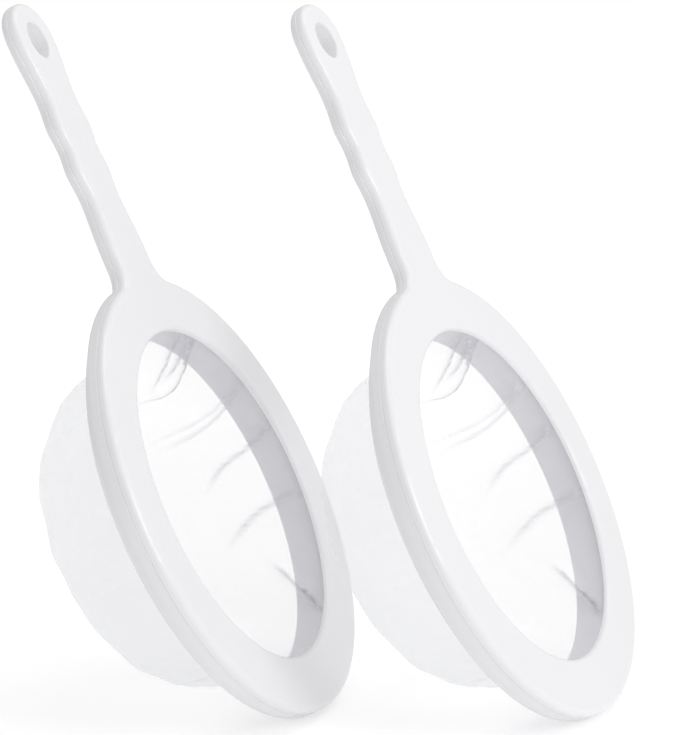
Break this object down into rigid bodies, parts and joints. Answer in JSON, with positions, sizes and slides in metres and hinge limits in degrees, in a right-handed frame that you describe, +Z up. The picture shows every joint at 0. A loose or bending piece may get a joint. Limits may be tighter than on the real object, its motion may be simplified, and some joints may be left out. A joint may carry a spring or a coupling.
{
  "type": "fine mesh hand strainer set",
  "caption": "Fine-mesh hand strainers as a nesting set: a flat moulded ring with a finger-grip handle and hanging eye clamps a deep, soft nylon mesh bag that food is poured into.",
  "frame": {"origin": "on the table under the middle of the set: centre of the bounding box in X and Y, lowest point in Z", "axes": "+Z up, -Y the way that the mouths face, +X to the right of someone who looks into the mouths"},
  "size_m": [0.1856, 0.2066, 0.2371],
  "materials": {
    "white_plastic": "glossy white polypropylene",
    "nylon_mesh": "fine translucent nylon mesh",
    "hem_tape": "woven nylon tape",
    "hoop_plastic": "extruded plastic rod"
  },
  "bodies": {
    "rear_strainer": {"rear_top_frame": "white_plastic", "rear_bottom_frame": "white_plastic", "rear_mesh_bag": "nylon_mesh", "rear_hem_band": "hem_tape", "rear_hem_hoop": "hoop_plastic"},
    "front_strainer": {"front_top_frame": "white_plastic", "front_bottom_frame": "white_plastic", "front_mesh_bag": "nylon_mesh", "front_hem_band": "hem_tape", "front_hem_hoop": "hoop_plastic"}
  },
  "joints": [
    {"name": "front_set_apart", "type": "slide", "parent": "rear_strainer", "child": "front_strainer", "axis": [0, -1, 0], "range_m": [0, 0.15]}
  ]
}
